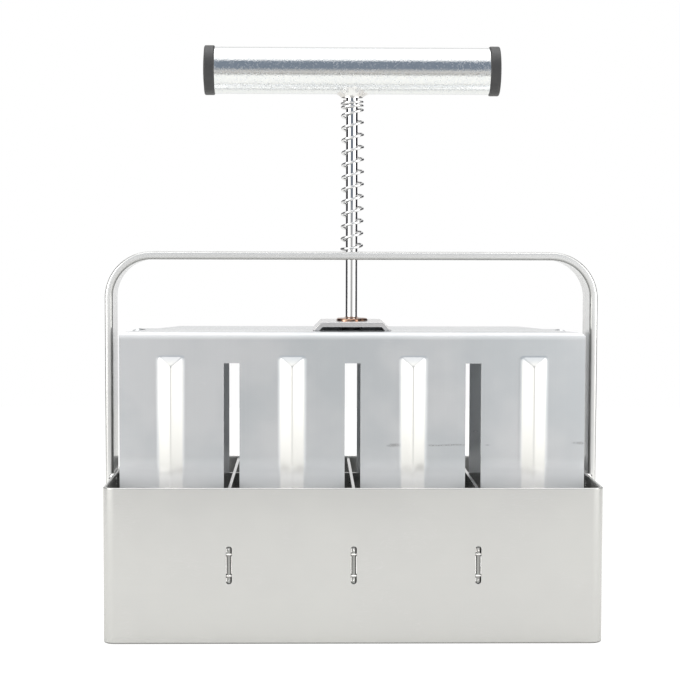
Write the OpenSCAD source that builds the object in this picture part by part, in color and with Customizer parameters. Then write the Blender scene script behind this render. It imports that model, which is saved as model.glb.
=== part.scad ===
// Soil blocker with eight square cells and a sprung, hand-pressed plunger.
// Origin: middle of the mold's foot, on the table. +Z is up, -Y is the front.

/* [Mold] */
// Clear width of one square cell
cell = 49.6; // [44:0.2:56]
// Height of the mold wall
mold_h = 64; // [58:1:76]
// Thickness of the mold's sheet metal
mold_sheet = 1.2; // [0.8:0.1:1.8]
// Outside radius of the mold's upright corners
mold_corner_r = 5; // [3:0.5:8]
// How far the dividers stop below the rim
divider_drop = 0.8; // [0.4:0.1:3]

/* [Divider tabs] */
// Height of the tabs that go through the outer wall
wall_tab_h = 14.4; // [10:0.2:18]
// Height of the middle of those tabs above the table
wall_tab_z = 32.4; // [24:0.2:34]
// Width of the rounded slots in the outer wall
wall_slot_w = 2.4; // [2.1:0.1:3]
// Room above and below a tab in its rounded slot
wall_slot_end_room = 0.6; // [0.3:0.1:1.2]
// How far a tab's end lies inside the outer face
tab_recess = 0.4; // [0.2:0.05:0.6]
// Height of the weld pads that hold a tab in its slot
tab_pad_h = 1.3; // [0.8:0.1:2]
// Distance from a tab's middle to each weld pad
tab_pad_offset = 4.4; // [3:0.2:6]
// Height of the small tabs between the dividers
cross_tab_h = 8; // [5:0.5:12]
// Distance from one small tab's middle to the tab of the other row
cross_tab_spacing = 24; // [16:1:28]

/* [Plunger sheets] */
// Thickness of the plunger's sheet metal
comb_sheet = 1.2; // [0.8:0.1:1.6]
// Height of the plunger's top face above the rim
comb_rise = 62; // [52:1:72]
// Gap between the plunger's ends and the mold's side walls
comb_side_gap = 3.2; // [1.5:0.1:5]
// Outside radius of the bend along the plunger's top edge
comb_bend_r = 2.5; // [2:0.1:4]
// How far the bent-over top stops short of the other sheet's face
flange_stop = 4; // [3.5:0.1:8]
// How far the top's corners are cut back at the bend
flange_corner_cut = 3.8; // [1:0.1:6]
// How far the top narrows on each side towards its free edge
flange_taper = 22; // [10:1:30]
// Width of the slots between the legs
leg_slot_w = 6.6; // [4:0.2:9]
// Distance from the top face down to the slots' closed ends
leg_slot_drop = 13.1; // [8:0.1:18]

/* [Leg ribs] */
// Width of the pressed rib on each leg
rib_w = 10.2; // [6:0.2:14]
// How far the rib's crest stands out
rib_depth = 2.6; // [1.6:0.1:4]
// Distance from the top face down to where the ribs begin
rib_drop = 9.4; // [6:0.2:16]
// Length over which a rib rises to its full depth
rib_rise = 4.2; // [2:0.2:8]

/* [Press plates] */
// Distance from the rim down to the plates' undersides
plate_depth = 14.5; // [10:0.5:20]
// Thickness of a press plate
plate_t = 1.5; // [1:0.1:2.5]
// Gap between a plate and the walls of its cell
plate_gap = 1; // [0.6:0.1:1.5]
// Corner radius of a press plate
plate_corner_r = 4; // [3:0.2:6]
// Diameter of the seed-hole pegs
peg_d = 9; // [6:0.5:12]
// Length of the pegs below the plates
peg_len = 8; // [7:0.5:12]
// Diameter of the peg's spigot in the plate
spigot_d = 4; // [3:0.5:5]
// Radius of the weld beads at the legs' feet
leg_weld_r = 1.5; // [1:0.1:2.5]
// Length of those beads
leg_weld_len = 12; // [8:1:14]
// Distance from a leg's middle to each bead
leg_weld_offset = 13; // [12:0.5:14]

/* [Bail] */
// Width of the bail's flat bar
bail_w = 20; // [14:1:28]
// Thickness of the bail's flat bar
bail_t = 3.5; // [2.5:0.1:5]
// Height of the bail's top face above the rim
bail_rise = 95.5; // [84:0.5:110]
// Outside radius of the bail's bends
bail_r = 20; // [12:1:30]
// How far the bail's ends reach down the outer wall
bail_overlap = 22; // [14:1:23]
// Radius of the weld beads beside the bail's ends
bail_weld_r = 1.8; // [1:0.1:3]

/* [Bridge] */
// Width of the bridge's flat top
bridge_w = 26.4; // [20:0.2:36]
// Depth of the bridge from front to back
bridge_d = 30; // [22:1:40]
// Thickness of the bridge plate
bridge_t = 2.2; // [1.4:0.1:3]
// Height of the gap beneath the bridge
bridge_gap = 1.5; // [1.4:0.1:4]
// How far each foot spreads outwards
bridge_spread = 3.6; // [2:0.1:6]
// Diameter of the brazed ring around the rod
braze_d = 13.4; // [9:0.2:18]
// Height of the brazed ring
braze_h = 1; // [0.8:0.1:1.6]
// Diameter of the weld under the bridge
rod_end_weld_d = 8; // [6.5:0.5:11]
// Height of the weld under the bridge
rod_end_weld_h = 0.9; // [0.5:0.1:1.2]

/* [Rod and handle] */
// Diameter of the push rod
rod_d = 5; // [4:0.5:6]
// Height of the handle's axis above the bail's top face
handle_rise = 77.7; // [70:0.1:95]
// Outside diameter of the handle tube
handle_d = 20; // [16:0.5:25]
// Wall thickness of the handle tube
handle_wall = 1.2; // [0.8:0.1:2]
// Length of the handle tube
handle_len = 118; // [90:1:150]
// How far the rod reaches past the tube's wall
rod_poke = 1.5; // [0.5:0.1:3]
// How far the weld under the handle hangs down
handle_weld_drop = 1.7; // [1:0.1:3]
// Diameter of that weld at the tube
handle_weld_d = 13.4; // [11:0.2:17]
// Diameter of that weld at its lower end
handle_weld_foot_d = 9; // [8:0.2:10.5]
// How far that weld climbs the sides of the tube
handle_weld_climb = 1.7; // [1:0.1:2.4]
// Diameter of the end caps
cap_d = 21.2; // [20.6:0.1:27]
// Thickness of the end caps' heads
cap_t = 4.9; // [3:0.1:8]
// How far the end caps' faces bulge
cap_bulge = 0.7; // [0.2:0.1:1.5]
// Edge radius of the end caps
cap_edge_r = 0.6; // [0.3:0.1:1]
// Length of the end caps' plugs inside the tube
cap_plug_len = 12; // [6:1:20]
// Wall thickness of the end caps' plugs
cap_plug_wall = 1.6; // [1:0.1:3]

/* [Spring] */
// Diameter of the spring's wire
wire_d = 1.1; // [0.8:0.1:1.3]
// Diameter of the spring, measured at the middle of its wire
coil_d = 8.8; // [8.2:0.1:10]
// Number of open turns
open_turns = 11.3; // [8:0.1:13]
// Number of close turns at the foot of the spring
foot_turns = 0.6; // [0.5:0.1:1.5]
// Number of close turns at the head of the spring
head_turns = 2.4; // [1:0.1:3]
// Gap between the wires of close turns
close_gap = 0.5; // [0.45:0.05:0.8]
// How far the spring's middle bows to the side
coil_bow = 0.4; // [0:0.1:0.5]

/* [Hidden] */
$fn = 64;

// Four columns of cells in two rows
columns = 4;
rows = 2;

// Fits and clearances
flat_fit = 0.1;      // beside a tab in its slot
round_fit = 0.05;    // around a fixed round piece, on the radius
guide_fit = 0.1;     // around the sliding rod in the bail, on the radius
seat_gap = 0.3;      // between pieces that nearly touch
overcut = 1;         // how far a cutting shape runs past the metal
root = 0.2;          // how far one part of a piece reaches into the next

// Mold
pitch = cell + mold_sheet;
mold_w = columns * pitch + mold_sheet;
mold_d = rows * pitch + mold_sheet;
inner_w = mold_w - 2 * mold_sheet;
inner_d = mold_d - 2 * mold_sheet;
divider_h = mold_h - divider_drop;
wall_slot_h = wall_tab_h + 2 * wall_slot_end_room;
divider_xs = [for (i = [1 : columns - 1]) (i - columns / 2) * pitch];
cell_xs = [for (i = [0 : columns - 1]) (i + 0.5 - columns / 2) * pitch];
row_y = pitch / 2;
cross_tab_front_z = wall_tab_z + cross_tab_spacing / 2;
cross_tab_rear_z = wall_tab_z - cross_tab_spacing / 2;

// Plunger
comb_w = inner_w - 2 * comb_side_gap;
comb_face_y = row_y + comb_sheet / 2;
comb_top_z = mold_h + comb_rise;
rear_top_z = comb_top_z - comb_sheet;
flange_end_y = comb_face_y - flange_stop;
leg_slot_top_z = comb_top_z - leg_slot_drop;
rib_top_z = comb_top_z - rib_drop;
plate_under_z = mold_h - plate_depth;
plate_top_z = plate_under_z + plate_t;
plate_w = cell - 2 * plate_gap;

// Bail
bail_top_z = mold_h + bail_rise;
bail_foot_z = mold_h - bail_overlap;
bail_half_w = mold_w / 2 + bail_t;

// Bridge, rod and handle
bridge_under_z = comb_top_z + bridge_gap;
bridge_top_z = bridge_under_z + bridge_t;
handle_z = bail_top_z + handle_rise;
handle_under_z = handle_z - handle_d / 2;
handle_inner_r = handle_d / 2 - handle_wall;
handle_weld_z = handle_under_z - handle_weld_drop;
handle_weld_top_z = handle_under_z + handle_weld_climb;
rod_foot_z = comb_top_z + seat_gap;
rod_head_z = handle_under_z + handle_wall + rod_poke;

// Spring: rings are the flat sections of its wire
rings_per_turn = 8;
wire_sides = 6;
coil_start_angle = 56;
spring_turns = foot_turns + open_turns + head_turns;
spring_foot_z = bail_top_z + wire_d / 2;
spring_head_z = handle_weld_z - seat_gap - wire_d / 2;
close_pitch = wire_d + close_gap;
open_pitch = (spring_head_z - spring_foot_z - close_pitch * (foot_turns + head_turns)) / open_turns;
ring_count = round(spring_turns * rings_per_turn);
gap_steps_per_turn = 16;

// ---------------------------------------------------------------- shapes

// Rectangle with round corners, centred
module round_rect(w, d, r) {
    square([w - 2 * r, d], center = true);
    square([w, d - 2 * r], center = true);
    for (x = [-1, 1], y = [-1, 1])
        translate([x * (w / 2 - r), y * (d / 2 - r)])
            circle(r);
}

// Upright arch with round upper corners, from z = foot to z = top
module arch(half_w, foot, top, r) {
    translate([-half_w, foot])
        square([2 * half_w, top - r - foot]);
    translate([-half_w + r, foot])
        square([2 * (half_w - r), top - foot]);
    for (x = [-1, 1])
        translate([x * (half_w - r), top - r])
            circle(r);
}

// Cutter for a slot with round ends, upright, running along Y
module slot_cutter(w, h, depth) {
    cube([w, depth, h - w], center = true);
    for (z = [-1, 1])
        translate([0, 0, z * (h - w) / 2])
            rotate([90, 0, 0])
                cylinder(d = w, h = depth, center = true);
}

// Weld bead in the corner between two faces, along +X from the origin,
// with its metal on the +Y, +Z side
module corner_bead(r, len) {
    intersection() {
        rotate([0, 90, 0])
            cylinder(r = r, h = len, center = true);
        translate([-len / 2, 0, 0])
            cube([len, r, r]);
    }
}

// ---------------------------------------------------------------- mold

module mold_wall() {
    color("gainsboro")
    difference() {
        linear_extrude(mold_h)
            round_rect(mold_w, mold_d, mold_corner_r);
        translate([0, 0, -overcut])
            linear_extrude(mold_h + 2 * overcut)
                round_rect(inner_w, inner_d, mold_corner_r - mold_sheet);
        for (x = divider_xs, y = [-1, 1])
            translate([x, y * (mold_d - mold_sheet) / 2, wall_tab_z])
                slot_cutter(wall_slot_w, wall_slot_h, mold_sheet + 2 * overcut);
        for (x = [-1, 1])
            translate([x * (mold_w - mold_sheet) / 2, 0, wall_tab_z])
                rotate([0, 0, 90])
                    slot_cutter(wall_slot_w, wall_slot_h, mold_sheet + 2 * overcut);
    }
}

// Long divider between the two rows, with a tab at each end
module cross_divider() {
    tab_reach = mold_w - 2 * tab_recess;
    color("silver")
    difference() {
        union() {
            translate([-inner_w / 2, -mold_sheet / 2, 0])
                cube([inner_w, mold_sheet, divider_h]);
            translate([-tab_reach / 2, -mold_sheet / 2, wall_tab_z - wall_tab_h / 2])
                cube([tab_reach, mold_sheet, wall_tab_h]);
        }
        for (x = divider_xs, z = [cross_tab_front_z, cross_tab_rear_z])
            translate([x, 0, z])
                cube([mold_sheet + 2 * flat_fit, mold_sheet + 2 * overcut, cross_tab_h + 2 * flat_fit], center = true);
    }
}

// Short divider from the outer wall to the cross divider.
// side is -1 for the front row and 1 for the rear row
module short_divider(column, side) {
    tab_z = side < 0 ? cross_tab_front_z : cross_tab_rear_z;
    color("silver")
    translate([divider_xs[column], 0, 0])
        scale([1, side, 1]) {
            translate([-mold_sheet / 2, mold_sheet / 2, 0])
                cube([mold_sheet, cell, divider_h]);
            translate([-mold_sheet / 2, mold_sheet / 2 + cell - root, wall_tab_z - wall_tab_h / 2])
                cube([mold_sheet, mold_sheet + root - tab_recess, wall_tab_h]);
            translate([-mold_sheet / 2, -mold_sheet / 2, tab_z - cross_tab_h / 2])
                cube([mold_sheet, mold_sheet + root, cross_tab_h]);
        }
}

module divider_front_left() short_divider(0, -1);
module divider_front_middle() short_divider(1, -1);
module divider_front_right() short_divider(2, -1);
module divider_rear_left() short_divider(0, 1);
module divider_rear_middle() short_divider(1, 1);
module divider_rear_right() short_divider(2, 1);

// Two weld pads over the end of one tab, with the outer face at y = 0
module tab_pads() {
    for (z = [-1, 1])
        translate([-wall_slot_w / 2, -tab_recess, wall_tab_z + z * tab_pad_offset - tab_pad_h / 2])
            cube([wall_slot_w, tab_recess, tab_pad_h]);
}

module tab_welds() {
    color("lightgray") {
        for (x = divider_xs) {
            translate([x, mold_d / 2, 0])
                tab_pads();
            translate([x, -mold_d / 2, 0])
                rotate([0, 0, 180])
                    tab_pads();
        }
        for (x = [-1, 1])
            translate([x * mold_w / 2, 0, 0])
                rotate([0, 0, -90 * x])
                    tab_pads();
    }
}

// Flat bar bent over the mold, with the guide hole for the rod
module bail() {
    color("lightgray")
    difference() {
        rotate([90, 0, 0])
            translate([0, 0, -bail_w / 2])
                linear_extrude(bail_w)
                    difference() {
                        arch(bail_half_w, bail_foot_z, bail_top_z, bail_r);
                        arch(mold_w / 2, bail_foot_z - overcut, bail_top_z - bail_t, bail_r - bail_t);
                    }
        translate([0, 0, bail_top_z - bail_t - overcut])
            cylinder(r = rod_d / 2 + guide_fit, h = bail_t + 2 * overcut);
    }
}

// Upright beads on both edges of each bail end
module bail_welds() {
    color("silver")
    for (x = [-1, 1], y = [-1, 1])
        scale([x, y, 1])
            translate([mold_w / 2, bail_w / 2, (bail_foot_z + mold_h) / 2])
                rotate([0, -90, 0])
                    mirror([0, 0, 1])
                        corner_bead(bail_weld_r, bail_overlap - 2 * bail_weld_r);
}

// ---------------------------------------------------------------- spring

// Height of the wire's middle after t turns
function coil_z(t) =
    spring_foot_z
    + close_pitch * min(t, foot_turns)
    + open_pitch * max(0, min(t - foot_turns, open_turns))
    + close_pitch * max(0, t - foot_turns - open_turns);

// Middle of the wire after t turns
function coil_point(t) =
    let (a = coil_start_angle + 360 * t)
    let (bow = coil_bow * sin(180 * t / spring_turns))
    [coil_d / 2 * cos(a) + bow, coil_d / 2 * sin(a), coil_z(t)];

function unit(v) = v / norm(v);

// One ring of points around the wire after t turns
function wire_ring(t) =
    let (a = coil_start_angle + 360 * t)
    let (step = 0.01)
    let (along = unit(coil_point(t + step) - coil_point(t - step)))
    let (out = [cos(a), sin(a), 0])
    let (up = unit(cross(out, along)))
    let (side = cross(along, up))
    [for (k = [0 : wire_sides - 1])
        coil_point(t) + wire_d / 2 * (cos(360 * k / wire_sides) * side + sin(360 * k / wire_sides) * up)];

// Least clear distance between the wire and its neighbouring turns
function least_gap() =
    let (steps = round(spring_turns * gap_steps_per_turn))
    let (half_turn = gap_steps_per_turn / 2)
    let (points = [for (i = [0 : steps]) coil_point(i / gap_steps_per_turn)])
    min([for (i = [0 : steps - half_turn], j = [i + half_turn : min(steps, i + 3 * half_turn)])
        norm(points[i] - points[j])]) - wire_d;

module spring() {
    points = [for (i = [0 : ring_count]) each wire_ring(i * spring_turns / ring_count)];
    sides = [for (i = [0 : ring_count - 1], k = [0 : wire_sides - 1])
        let (a = i * wire_sides + k, b = i * wire_sides + (k + 1) % wire_sides)
        each [[a, a + wire_sides, b], [b, a + wire_sides, b + wire_sides]]];
    foot = [for (k = [1 : wire_sides - 2]) [0, k, k + 1]];
    last = ring_count * wire_sides;
    head = [for (k = [1 : wire_sides - 2]) [last, last + k + 1, last + k]];
    echo(str("spring: open pitch ", open_pitch, " mm, least gap to itself ", least_gap(), " mm"));
    color("whitesmoke")
        polyhedron(points = points, faces = concat(sides, foot, head));
}

// ---------------------------------------------------------------- plunger

// Space of one pressed rib, with its base on the y = 0 plane and its crest at -Y
module rib_wedge() {
    intersection() {
        translate([0, 0, plate_top_z])
            linear_extrude(rib_top_z - plate_top_z)
                polygon([
                    [-rib_w / 2, root], [-rib_w / 2, 0], [0, -rib_depth],
                    [rib_w / 2, 0], [rib_w / 2, root]
                ]);
        rotate([90, 0, 90])
            translate([0, 0, -rib_w])
                linear_extrude(2 * rib_w)
                    polygon([
                        [root, plate_top_z - overcut], [root, rib_top_z], [0, rib_top_z],
                        [-rib_depth, rib_top_z - rib_rise], [-rib_depth, plate_top_z - overcut]
                    ]);
    }
}

// Outline of the bent-over top, seen from above, for the front sheet
module flange_outline() {
    corner_y = -comb_face_y + comb_bend_r;
    polygon([
        [-comb_w / 2, -comb_face_y], [-comb_w / 2 + flange_corner_cut, corner_y],
        [-comb_w / 2 + flange_taper, flange_end_y], [comb_w / 2 - flange_taper, flange_end_y],
        [comb_w / 2 - flange_corner_cut, corner_y], [comb_w / 2, -comb_face_y]
    ]);
}

// Area under a bent sheet, with Y across and Z up: its face is at y = face, its top at
// z = top, and it runs back to y = end and down to z = foot
module under_bend(face, end, foot, top, r) {
    translate([face, foot])
        square([end - face, top - r - foot]);
    translate([face + r, foot])
        square([end - face - r, top - foot]);
    translate([face + r, top - r])
        circle(r);
}

// Side view of the bend and the top, with a short piece of the upright panel
module flange_section(top_z) {
    foot_z = top_z - comb_bend_r - root;
    inner_r = comb_bend_r - comb_sheet;
    difference() {
        under_bend(-comb_face_y, flange_end_y, foot_z, top_z, comb_bend_r);
        under_bend(-comb_face_y + comb_sheet, flange_end_y + overcut, foot_z - overcut, top_z - comb_sheet, inner_r);
    }
}

// One slotted and ribbed sheet with its top bent over, facing the front
module comb(top_z) {
    bend_z = top_z - comb_bend_r;
    difference() {
        union() {
            translate([-comb_w / 2, -comb_face_y, plate_top_z])
                cube([comb_w, comb_sheet, bend_z - plate_top_z]);
            intersection() {
                rotate([90, 0, 90])
                    translate([0, 0, -comb_w / 2])
                        linear_extrude(comb_w)
                            flange_section(top_z);
                translate([0, 0, bend_z - overcut])
                    linear_extrude(comb_bend_r + 2 * overcut)
                        flange_outline();
            }
            for (x = cell_xs)
                translate([x, -comb_face_y, 0])
                    rib_wedge();
        }
        for (x = cell_xs)
            translate([x, -comb_face_y + comb_sheet, 0])
                rib_wedge();
        for (x = divider_xs)
            translate([x - leg_slot_w / 2, -comb_face_y - overcut, plate_top_z - overcut])
                cube([leg_slot_w, comb_sheet + 2 * overcut, leg_slot_top_z - plate_top_z + overcut]);
    }
}

module front_comb() color("lightsteelblue") comb(comb_top_z);

module rear_comb() color("lightsteelblue") rotate([0, 0, 180]) comb(rear_top_z);

// Plate that presses the soil in one cell
module press_plate(column, side) {
    color("silver")
    translate([cell_xs[column], side * row_y, plate_under_z])
        difference() {
            linear_extrude(plate_t)
                round_rect(plate_w, plate_w, plate_corner_r);
            translate([0, 0, -overcut])
                cylinder(r = spigot_d / 2 + round_fit, h = plate_t + 2 * overcut);
        }
}

// Peg that leaves the seed hole in one block
module seed_peg(column, side) {
    color("dimgray")
    translate([cell_xs[column], side * row_y, plate_under_z]) {
        cylinder(d = spigot_d, h = plate_t - seat_gap);
        intersection() {
            translate([0, 0, -peg_len + peg_d / 2]) {
                cylinder(d = peg_d, h = peg_len - peg_d / 2);
                sphere(d = peg_d);
            }
            translate([-peg_d, -peg_d, -peg_len - overcut])
                cube([2 * peg_d, 2 * peg_d, peg_len + overcut]);
        }
    }
}

module press_plate_front_1() press_plate(0, -1);
module press_plate_front_2() press_plate(1, -1);
module press_plate_front_3() press_plate(2, -1);
module press_plate_front_4() press_plate(3, -1);
module press_plate_rear_1() press_plate(0, 1);
module press_plate_rear_2() press_plate(1, 1);
module press_plate_rear_3() press_plate(2, 1);
module press_plate_rear_4() press_plate(3, 1);
module seed_peg_front_1() seed_peg(0, -1);
module seed_peg_front_2() seed_peg(1, -1);
module seed_peg_front_3() seed_peg(2, -1);
module seed_peg_front_4() seed_peg(3, -1);
module seed_peg_rear_1() seed_peg(0, 1);
module seed_peg_rear_2() seed_peg(1, 1);
module seed_peg_rear_3() seed_peg(2, 1);
module seed_peg_rear_4() seed_peg(3, 1);

// Two beads behind each leg, where it stands on its plate
module leg_welds() {
    color("silver")
    for (x = cell_xs, side = [-1, 1], offset = [-1, 1])
        scale([1, -side, 1])
            translate([x + offset * leg_weld_offset, -comb_face_y + comb_sheet, plate_top_z])
                corner_bead(leg_weld_r, leg_weld_len);
}

// ---------------------------------------------------------------- bridge, rod and handle

// Small bent plate on the plunger's top that carries the rod: its sides spread out into feet,
// its rear edge is turned down and its front is open
module bridge() {
    outer = bridge_w / 2;
    slope = bridge_spread / (bridge_gap + bridge_t);
    foot_out = outer + bridge_spread;
    foot_in = foot_out - bridge_t * sqrt(1 + slope * slope);
    corner_in = foot_in - slope * bridge_gap;
    low_in = foot_in + slope * overcut;
    color("gainsboro")
    difference() {
        rotate([90, 0, 0])
            translate([0, 0, -bridge_d / 2])
                linear_extrude(bridge_d)
                    polygon([
                        [-foot_out, comb_top_z], [-outer, bridge_top_z],
                        [outer, bridge_top_z], [foot_out, comb_top_z]
                    ]);
        rotate([90, 0, 0])
            translate([0, 0, -bridge_d / 2 + bridge_t])
                linear_extrude(bridge_d - bridge_t + overcut)
                    polygon([
                        [-low_in, comb_top_z - overcut], [-corner_in, bridge_under_z],
                        [corner_in, bridge_under_z], [low_in, comb_top_z - overcut]
                    ]);
        translate([0, 0, bridge_under_z - overcut])
            cylinder(r = rod_d / 2 + round_fit, h = bridge_t + 2 * overcut);
    }
}

module braze_ring() {
    color("peru")
    difference() {
        translate([0, 0, bridge_top_z])
            cylinder(d1 = braze_d, d2 = braze_d - 2 * braze_h, h = braze_h);
        translate([0, 0, bridge_top_z - overcut])
            cylinder(r = rod_d / 2 + round_fit, h = braze_h + 2 * overcut);
    }
}

module rod_end_weld() {
    color("silver")
    difference() {
        translate([0, 0, bridge_under_z - rod_end_weld_h])
            cylinder(d1 = rod_d + rod_end_weld_h, d2 = rod_end_weld_d, h = rod_end_weld_h);
        translate([0, 0, bridge_under_z - rod_end_weld_h - overcut])
            cylinder(r = rod_d / 2 + round_fit, h = rod_end_weld_h + 2 * overcut);
    }
}

module push_rod() {
    color("whitesmoke")
    translate([0, 0, rod_foot_z])
        cylinder(d = rod_d, h = rod_head_z - rod_foot_z);
}

module handle_tube() {
    color("whitesmoke")
    difference() {
        translate([-handle_len / 2, 0, handle_z])
            rotate([0, 90, 0])
                cylinder(d = handle_d, h = handle_len);
        translate([-handle_len / 2 - overcut, 0, handle_z])
            rotate([0, 90, 0])
                cylinder(r = handle_inner_r, h = handle_len + 2 * overcut);
        translate([0, 0, handle_under_z - overcut])
            cylinder(r = rod_d / 2 + round_fit, h = handle_d / 2);
    }
}

module handle_weld() {
    color("silver")
    difference() {
        translate([0, 0, handle_weld_z])
            cylinder(d1 = handle_weld_foot_d, d2 = handle_weld_d, h = handle_weld_top_z - handle_weld_z);
        translate([0, 0, handle_weld_z - overcut])
            cylinder(r = rod_d / 2 + round_fit, h = handle_d);
        translate([-handle_len / 2, 0, handle_z])
            rotate([0, 90, 0])
                cylinder(r = handle_d / 2 + round_fit, h = handle_len);
    }
}

// Push-in cap for the right end of the handle
module end_cap() {
    head_r = cap_d / 2;
    bulge_r = (head_r * head_r + cap_bulge * cap_bulge) / (2 * cap_bulge);
    plug_r = handle_inner_r - round_fit;
    color([0.27, 0.27, 0.27])
    translate([handle_len / 2, 0, handle_z])
        rotate([0, 90, 0]) {
            intersection() {
                rotate_extrude() {
                    square([head_r - cap_edge_r, cap_t]);
                    square([head_r, cap_t - cap_edge_r]);
                    translate([head_r - cap_edge_r, cap_t - cap_edge_r])
                        circle(cap_edge_r, $fn = 32);
                }
                translate([0, 0, cap_t - bulge_r])
                    sphere(bulge_r);
            }
            translate([0, 0, -cap_plug_len])
                difference() {
                    cylinder(r = plug_r, h = cap_plug_len + root);
                    translate([0, 0, -overcut])
                        cylinder(r = plug_r - cap_plug_wall, h = cap_plug_len + overcut);
                }
        }
}

module cap_right() end_cap();

module cap_left() mirror([1, 0, 0]) end_cap();

mold_wall();
cross_divider();
divider_front_left();
divider_front_middle();
divider_front_right();
divider_rear_left();
divider_rear_middle();
divider_rear_right();
tab_welds();
bail();
bail_welds();
spring();
front_comb();
rear_comb();
press_plate_front_1();
press_plate_front_2();
press_plate_front_3();
press_plate_front_4();
press_plate_rear_1();
press_plate_rear_2();
press_plate_rear_3();
press_plate_rear_4();
seed_peg_front_1();
seed_peg_front_2();
seed_peg_front_3();
seed_peg_front_4();
seed_peg_rear_1();
seed_peg_rear_2();
seed_peg_rear_3();
seed_peg_rear_4();
leg_welds();
bridge();
braze_ring();
rod_end_weld();
push_rod();
handle_tube();
handle_weld();
cap_left();
cap_right();
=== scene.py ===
import math

import bmesh
import bpy
import numpy as np
from mathutils import Matrix, Vector


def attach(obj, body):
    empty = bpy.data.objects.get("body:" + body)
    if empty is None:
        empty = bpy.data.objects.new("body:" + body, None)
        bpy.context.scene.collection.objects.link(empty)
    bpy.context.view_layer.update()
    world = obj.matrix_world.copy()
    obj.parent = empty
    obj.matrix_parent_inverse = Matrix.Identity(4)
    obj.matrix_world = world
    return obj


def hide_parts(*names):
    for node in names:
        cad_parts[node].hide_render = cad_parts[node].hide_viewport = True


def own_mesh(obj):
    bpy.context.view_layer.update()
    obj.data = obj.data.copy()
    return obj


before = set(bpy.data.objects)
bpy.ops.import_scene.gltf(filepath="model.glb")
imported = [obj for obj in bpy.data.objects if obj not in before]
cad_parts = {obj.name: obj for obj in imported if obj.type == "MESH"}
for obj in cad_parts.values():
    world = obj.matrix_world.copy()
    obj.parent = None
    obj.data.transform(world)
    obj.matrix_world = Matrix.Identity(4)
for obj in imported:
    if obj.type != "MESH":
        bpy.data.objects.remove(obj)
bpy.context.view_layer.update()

# A soil blocker: an eight-cell mold, a slotted plunger on a sprung rod, a tee handle.
# Lengths are in millimetres until a mesh is made, which is in metres.
MM = 0.001

# Sizes of the part, as its source has them
CELL_PITCH = 50.8
MOLD_W, MOLD_D, MOLD_H, MOLD_SHEET, MOLD_CORNER_R = 204.4, 102.8, 64.0, 1.2, 5.0
DIVIDER_TOP_Z = 63.2
TAB_Z, TAB_SLOT_W, TAB_SLOT_H, TAB_PAD_OFFSET = 32.4, 2.4, 15.6, 4.4
COMB_HALF_W, COMB_FACE_Y, COMB_SHEET, COMB_BEND_R = 97.8, 26.0, 1.2, 2.5
COMB_TOP_Z, COMB_FOOT_Z, COMB_END_Y = 126.0, 51.0, 22.0
CORNER_CUT, TOP_TAPER = 3.8, 22.0
SLOT_HALF_W, SLOT_TOP_Z = 3.3, 112.9
RIB_HALF_W, RIB_DEPTH, RIB_TOP_Z = 5.1, 2.6, 116.6
PLATE_W, PLATE_T, PLATE_UNDER_Z, PLATE_CORNER_R = 47.6, 1.5, 49.5, 4.0
PEG_R, PEG_LEN, SPIGOT_R = 4.5, 8.0, 2.0
BAIL_HALF_W, BAIL_W, BAIL_T, BAIL_R, BAIL_FOOT_Z, BAIL_TOP_Z = 105.7, 20.0, 3.5, 20.0, 42.0, 159.5
GUIDE_R, ROD_R, ROD_FOOT_Z, ROD_HEAD_Z = 2.6, 2.5, 126.3, 229.9
BRIDGE_HALF_W, BRIDGE_D, BRIDGE_T, BRIDGE_UNDER_Z, BRIDGE_SPREAD = 13.2, 30.0, 2.2, 127.5, 3.6
BRAZE_R = 6.7
HANDLE_Z, HANDLE_R, HANDLE_WALL, HANDLE_HALF_L = 237.2, 10.0, 1.2, 59.0
HANDLE_WELD_R, HANDLE_WELD_FOOT_R, HANDLE_WELD_Z = 6.7, 4.5, 225.5
CAP_R, CAP_T, CAP_BULGE, CAP_EDGE_R, PLUG_LEN, PLUG_R, PLUG_WALL = 10.6, 4.9, 0.7, 0.6, 12.0, 8.75, 1.6
WIRE_R, COIL_R, OPEN_TURNS, FOOT_TURNS, HEAD_TURNS, CLOSE_GAP = 0.55, 4.4, 11.3, 0.6, 2.4, 0.5
COIL_BOW, COIL_START = 0.4, 56.0
DIVIDER_XS = (-CELL_PITCH, 0.0, CELL_PITCH)
CELL_XS = tuple((i - 1.5) * CELL_PITCH for i in range(4))

# Sizes of this scene's own, with angles in degrees
BEAD_BORE_R = ROD_R + 0.05
MERGE_GAP = 0.002
SMOOTH_ANGLE, BEAD_SMOOTH_ANGLE = 40.0, 60.0


def add_object(name, data):
    """Puts a mesh, a lamp or a camera in the scene, at the origin."""
    made = bpy.data.objects.new(name, data)
    bpy.context.scene.collection.objects.link(made)
    return made


# ---- camera

def make_camera():
    """The photograph's viewpoint: straight on, a little left of the middle, looking slightly down."""
    place = Vector((-18.95, -723.06, 165.01)) * MM
    yaw, pitch, roll = (math.radians(a) for a in (1.115, 3.471, 0.160))
    turn = Matrix.Rotation(-yaw, 4, "Z") @ Matrix.Rotation(math.pi / 2 - pitch, 4, "X")
    turn = turn @ Matrix.Rotation(roll, 4, "Z")
    data = bpy.data.cameras.new("camera")
    data.sensor_width, data.lens = 36.0, 88.27
    camera = add_object("camera", data)
    camera.matrix_world = Matrix.Translation(place) @ turn
    bpy.context.scene.camera = camera


# ---- node helpers

class Bench:
    """The node tree that new nodes go to, which is the one opened last, and its material or world."""
    tree = owner = None


class Value:
    """A node's output. It can be added, subtracted, multiplied and divided like a number."""

    def __init__(self, socket):
        self.socket = socket

    def __add__(self, other):
        return calc("ADD", self, other)

    def __sub__(self, other):
        return calc("SUBTRACT", self, other)

    def __mul__(self, other):
        return calc("MULTIPLY", self, other)

    def __truediv__(self, other):
        return calc("DIVIDE", self, other)


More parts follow.
